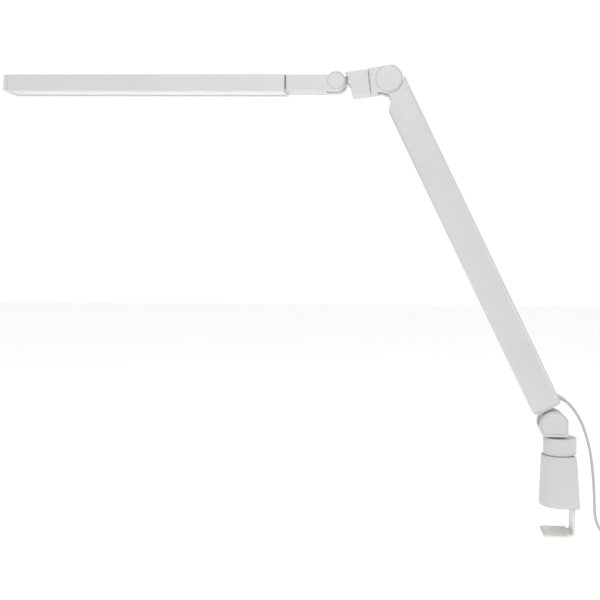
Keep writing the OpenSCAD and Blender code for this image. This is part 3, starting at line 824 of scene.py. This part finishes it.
# ------------------------------------------------------------------ elbow and roll joint
SP = -24.2
R = 17.8
t = math.degrees(math.acos(16.3 / R))
pts = [(SP, 16.3)] + arc(0, 0, R, 90 - t, -(180 - math.degrees(math.asin(14 / R))), 80) + [(SP, -14)]
pts = fillet(pts, [0.6] + [0] * (len(pts) - 2) + [0.6], 3)
elb = finish_mesh("elbow_casting", *prism(pts, "Y", -18.5, 18.5, 0.7, 4), mat_paint2, M_link)
slot_pts = [(-9, 4), (-2, 10.6), (30, 10.6), (30, -30), (-16, -30), (-16, -13), (-9.4, -4)]
cuts = [cutter(ycyl(16.35, 16.5, 30), M_link), cutter(ycyl(16.35, -30, -16.5), M_link), cutter(ycyl(10.2, -7, 7), M_link),
        cutter(prism(slot_pts, "Y", -7, 7, 0), M_link), cutter(boxm((SP - 1, -30, 2), (SP + 0.9, 30, 13)), M_link)]
boolean(elb, cuts)
shade(elb, 32)
weighted(elb)
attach(elb, "elbow")
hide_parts("elbow_block")
cap_disc("elbow_cover_discs", M_link, "elbow", 16.15, "elbow_caps")

hl = M_link.inverted() @ H
hx, hz = hl.x / mm, hl.z / mm
out = [(SP - 0.5, 15.3), (-56, 15.3), (-56, hz), (-48.6, -1), (-48.2, -14), (SP - 0.5, -14)]
out = fillet(out, [0.6, 1.0, 0, 1.0, 1.2, 0.6], 4)
sw = finish_mesh("roll_casting", *prism(out, "Y", -18.5, 18.5, 0.7, 4), mat_paint2, M_link)
boolean(sw, [cutter(ycyl(15.4, -30, 30, hx, hz, 160), M_link), cutter(boxm((-60, -9, -9), (-33.8, 9, 12.4)), M_link)])
shade(sw, 32)
weighted(sw)
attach(sw, "roll_link")
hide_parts("swivel_block")

# ------------------------------------------------------------------ head
TX, BE = -65.4, -437.4


def rbox(w, z0, z1, r, rb):
    return arc(w - r, z1 - r, r, 0, 90, 8) + arc(-w + r, z1 - r, r, 90, 180, 8) + arc(-w + rb, z0 + rb, rb, 180, 270, 5) + arc(w - rb, z0 + rb, rb, 270, 360, 5)


a_hi = 180 - math.degrees(math.asin(7.6 / 12))
pts = [(TX + 0.3, -12.2), (-8, -12.2)] + arc(0, 0, 12, -94, a_hi, 70) + [(TX + 0.3, 7.6)]
pts = fillet(pts, [0.5, 2.0] + [0] * (len(pts) - 3) + [0.5], 3)
tl = finish_mesh("tail_shell", *prism(pts, "Y", -18.5, 18.5, 1.3, 5), mat_paint, M_head)
cuts = [cutter(ycyl(10.65, 16.6, 30), M_head), cutter(ycyl(10.65, -30, -16.6), M_head), cutter(boxm((-13.4, -6.5, -20), (30, 6.5, 20)), M_head),
        cutter(prism(arc(-40, 0, 4.75, 0, 354, 59), "Z", 3, 20, 0), M_head), cutter(boxm((TX + 2.5, -16.4, -20), (-17, 16.4, -10.2), 0.8), M_head)]
boolean(tl, cuts)
shade(tl, 32)
weighted(tl)
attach(tl, "head")
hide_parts("tail_housing")
v, f = prism(fillet([(TX + 2.75, -16.15), (-17.25, -16.15), (-17.25, 16.15), (TX + 2.75, 16.15)], 0.9, 4), "Z", -12.2, -10.3, 0.4, 3)
tc = finish_mesh("tail_plate", v, f, mat_trim, M_head, sharp=40, body="head")
boolean(tc, [cutter(prism(arc(x_, y_, 1.6, 0, 345, 23), "Z", -14, -11.3, 0), M_head) for x_ in (-24, -57) for y_ in (-11, 11)])
shade(tc, 40)
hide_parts("tail_cover")
cap_disc("head_cover_discs", M_head, "head", 10.45, "head_caps")

prof = [(0, 4.2), (4.3, 4.2), (4.3, 7.4), (4.2, 7.75), (3.9, 7.95), (3.4, 8.0), (2.9, 7.93), (1.6, 7.8), (0, 7.76)]
bt = finish_mesh("button_cap", *lathe(prof, "Z", (-40, 0), 64, closed=False), mat_cap, M_head, sharp=50, body="switch")
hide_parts("power_button")

hp = finish_mesh("bar_shell", *prism(rbox(22, -14, 7.6, 2.4, 1.2), "X", BE + 5.0, TX, 0.35, 3), mat_paint, M_head)
cav = [(20.4, 5.8), (20.4, -9.4), (-20.4, -9.4), (-20.4, 5.8)]
cuts = [cutter(prism(cav, "X", BE - 2, TX - 3, 0), M_head), cutter(prism([(15.8, -9), (15.8, -20), (-15.8, -20), (-15.8, -9)], "X", BE - 2, TX - 3, 0), M_head),
        cutter(prism([(17.2, -13), (17.2, -10.8), (-17.2, -10.8), (-17.2, -13)], "X", BE - 2, TX - 0.15, 0), M_head)]
boolean(hp, cuts)
shade(hp, 32)
weighted(hp)
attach(hp, "head")
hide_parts("head_profile")

ec = finish_mesh("bar_end_cap", *prism(rbox(22, -14, 7.6, 2.4, 1.2), "X", BE, BE + 4.75, 0.7, 4), mat_cap, M_head)
cuts = [cutter(prism(arc(s * 19.4, -11.6, 1.15, 0, 345, 23), "X", BE - 1, BE + 8, 0), M_head) for s in (1, -1)]
boolean(ec, cuts)
shade(ec, 32)
weighted(ec)
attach(ec, "head")
ec2 = finish_mesh("bar_end_plug", *prism([(20.2, 5.6), (20.2, -9.2), (-20.2, -9.2), (-20.2, 5.6)], "X", BE + 4.7, BE + 9, 0.3, 2), mat_cap, M_head, body="head")
for o in (ec, ec2):
    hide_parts("head_end_cap")

df = finish_mesh("bar_lens", *prism([(17.0, -12.9), (17.0, -10.95), (-17.0, -10.95), (-17.0, -12.9)], "X", BE + 5.15, TX - 0.3, 0.25, 3), mat_opal, M_head, sharp=40, body="head")
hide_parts("diffuser")

# ------------------------------------------------------------------ CAD nodes that are shown as they are
keep = {
    "base_frame": mat_zinc, "frame_screws": mat_metal, "clamp_screw": mat_metal, "clamp_nut": mat_brass, "swivel_bush": mat_poly,
    "swivel_spigot": mat_metal, "spigot_clip": mat_metal, "thrust_washer": mat_poly, "knuckle_axle": mat_metal, "knuckle_springs": mat_metal,
    "knuckle_washers": mat_poly, "arm_end_screws": mat_metal, "arm_cable": mat_cord, "elbow_axle": mat_metal, "elbow_springs": mat_metal,
    "elbow_washers": mat_poly, "roll_spindle": mat_metal, "roll_nut": mat_metal, "roll_springs": mat_metal, "swivel_lug": mat_paint2,
    "lug_screws": mat_metal, "driver_board": mat_board, "head_axle": mat_metal, "head_springs": mat_metal, "head_washers": mat_poly,
    "cap_screws": mat_metal, "led_board": mat_pcbw, "led_chips": mat_led, "reflector": mat_pcbw,
}
for n, m in keep.items():
    o = frame["nodes"][n]
    o.data.materials.clear()
    o.data.materials.append(m)

# ------------------------------------------------------------------ floor and light
floor_me = bpy.data.meshes.new("studio_floor")
S = 6.0
floor_me.from_pydata([(-S, -S, -0.0365), (S, -S, -0.0365), (S, S, -0.0365), (-S, S, -0.0365)], [], [(0, 1, 2, 3)])
floor = bpy.data.objects.new("studio_floor", floor_me)
bpy.context.scene.collection.objects.link(floor)
fm, nt, b = new_mat("studio_white")
v_ = coords(nt)
nt.links.new(ramp(nt, noise(nt, v_, 3.0), [(0.3, 0.50), (0.7, 0.52)]), b.inputs["Base Color"])
b.inputs["Roughness"].default_value = 0.9
b.inputs["Emission Color"].default_value = (1, 1, 1, 1)
b.inputs["Emission Strength"].default_value = 0.70
floor_me.materials.append(fm)

# white sweep behind, and a softer dome for the light that reaches the lamp
world = bpy.data.worlds.new("studio")
world.use_nodes = True
wn = world.node_tree
bg = wn.nodes["Background"]
lp = wn.nodes.new("ShaderNodeLightPath")
wr = wn.nodes.new("ShaderNodeMapRange")
wr.inputs["To Min"].default_value = 0.46
wr.inputs["To Max"].default_value = 1.0
wn.links.new(lp.outputs["Is Camera Ray"], wr.inputs["Value"])
wn.links.new(wr.outputs["Result"], bg.inputs[1])
bg.inputs[0].default_value = (1, 1, 1, 1)
bpy.context.scene.world = world


def area(name, loc, target, size, power, size_y=None):
    d = bpy.data.lights.new(name, "AREA")
    d.energy = power
    d.shape = "RECTANGLE"
    d.size = size
    d.size_y = size_y or size
    o = bpy.data.objects.new(name, d)
    bpy.context.scene.collection.objects.link(o)
    o.location = loc
    o.rotation_euler = (Vector(target) - Vector(loc)).to_track_quat("-Z", "Y").to_euler()
    return o


area("key_front", (-0.35, -1.75, 1.45), (-0.1, 0, 0.2), 0.9, 12.0)
area("key_top", (-0.15, 0.05, 1.9), (-0.15, 0, 0.2), 1.5, 9.0)
area("side_right", (1.6, 0.5, 0.7), (-0.1, 0, 0.25), 1.0, 6.5)
area("under_base", (-0.004, 0, -0.001), (-0.004, 0, -0.03), 0.03, 0.0018)
bpy.context.scene.view_settings.view_transform = "Standard"
